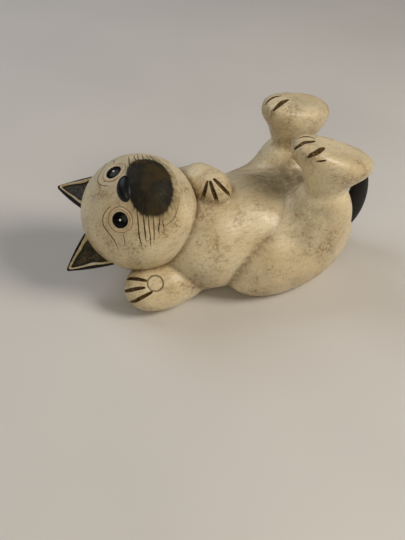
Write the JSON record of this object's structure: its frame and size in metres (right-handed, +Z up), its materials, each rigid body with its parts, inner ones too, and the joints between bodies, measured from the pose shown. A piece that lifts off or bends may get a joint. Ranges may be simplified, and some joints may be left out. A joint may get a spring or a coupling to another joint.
{
  "type": "lying cat figurine",
  "caption": "Hollow ceramic figurine of a cat lying on its back with its hind feet in the air, cream with a dark muzzle, ears and tail.",
  "frame": {"origin": "middle of the flat face under the torso that the figure rests on", "axes": "+X from the head towards the tail, +Z up, +Y towards the cat's left side"},
  "size_m": [0.2107, 0.0973, 0.1033],
  "materials": {
    "cream_ceramic": "satin antiqued paint",
    "ear_paint": "brushed olive black paint with a cream line",
    "eye_glaze": "gloss",
    "nose_glaze": "gloss",
    "black_paint": "matt paint"
  },
  "bodies": {
    "root": {"torso": "cream_ceramic", "head": "cream_ceramic", "ear_left": "ear_paint", "ear_right": "ear_paint", "eye_left": "eye_glaze", "eye_right": "eye_glaze", "nose": "nose_glaze", "foreleg_right": "cream_ceramic", "foreleg_left": "cream_ceramic", "haunch_right": "cream_ceramic", "haunch_left": "cream_ceramic", "foot_right": "cream_ceramic", "foot_left": "cream_ceramic", "tail": "black_paint"}
  },
  "joints": []
}
